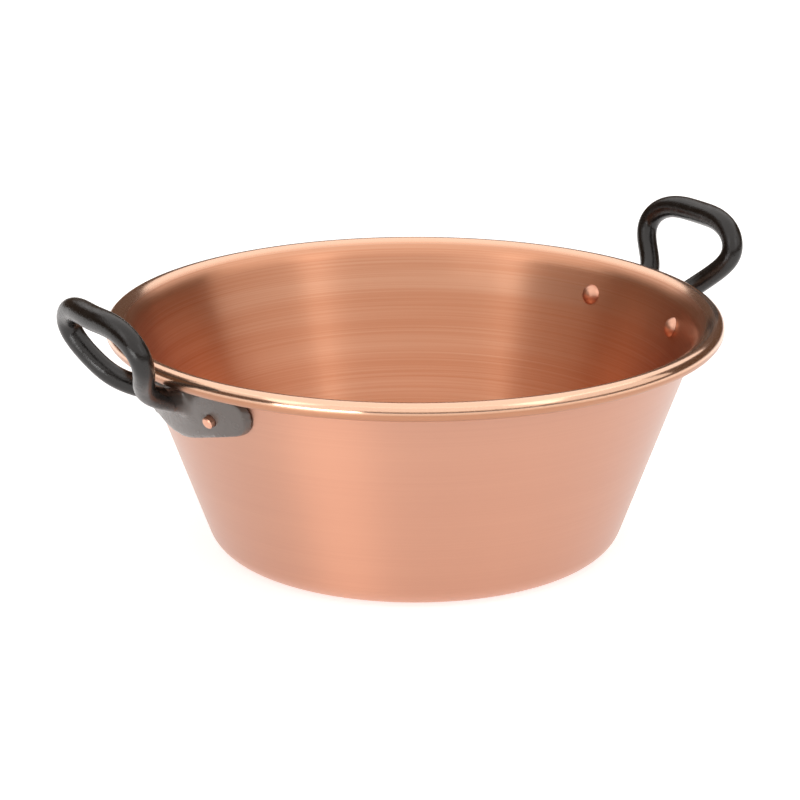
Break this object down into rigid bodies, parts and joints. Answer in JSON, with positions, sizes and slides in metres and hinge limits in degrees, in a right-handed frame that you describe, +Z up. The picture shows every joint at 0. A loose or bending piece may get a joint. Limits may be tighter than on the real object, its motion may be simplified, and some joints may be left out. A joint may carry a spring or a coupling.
{
  "type": "copper jam pan",
  "caption": "Wide round copper pan with a flat base, leaning wall and rolled wired rim, and cast iron loop handles riveted to opposite sides.",
  "frame": {"origin": "middle of the base's underside, on the surface the pan stands on", "axes": "+Z up along the pan's axis, +X to the right handle, -Y to the front of the pan"},
  "size_m": [0.4366, 0.36, 0.1768],
  "materials": {
    "copper_sheet": "satin brushed copper, spun",
    "steel_wire": "plain drawn wire",
    "cast_iron": "dark, smooth and slightly glossy",
    "rivet_copper": "satin copper, hammered"
  },
  "bodies": {
    "root": {"pan_body": "copper_sheet", "rim_wire": "steel_wire", "handle_right": "cast_iron", "handle_left": "cast_iron", "rivet_right_front": "rivet_copper", "rivet_right_back": "rivet_copper", "rivet_left_front": "rivet_copper", "rivet_left_back": "rivet_copper"}
  },
  "joints": []
}
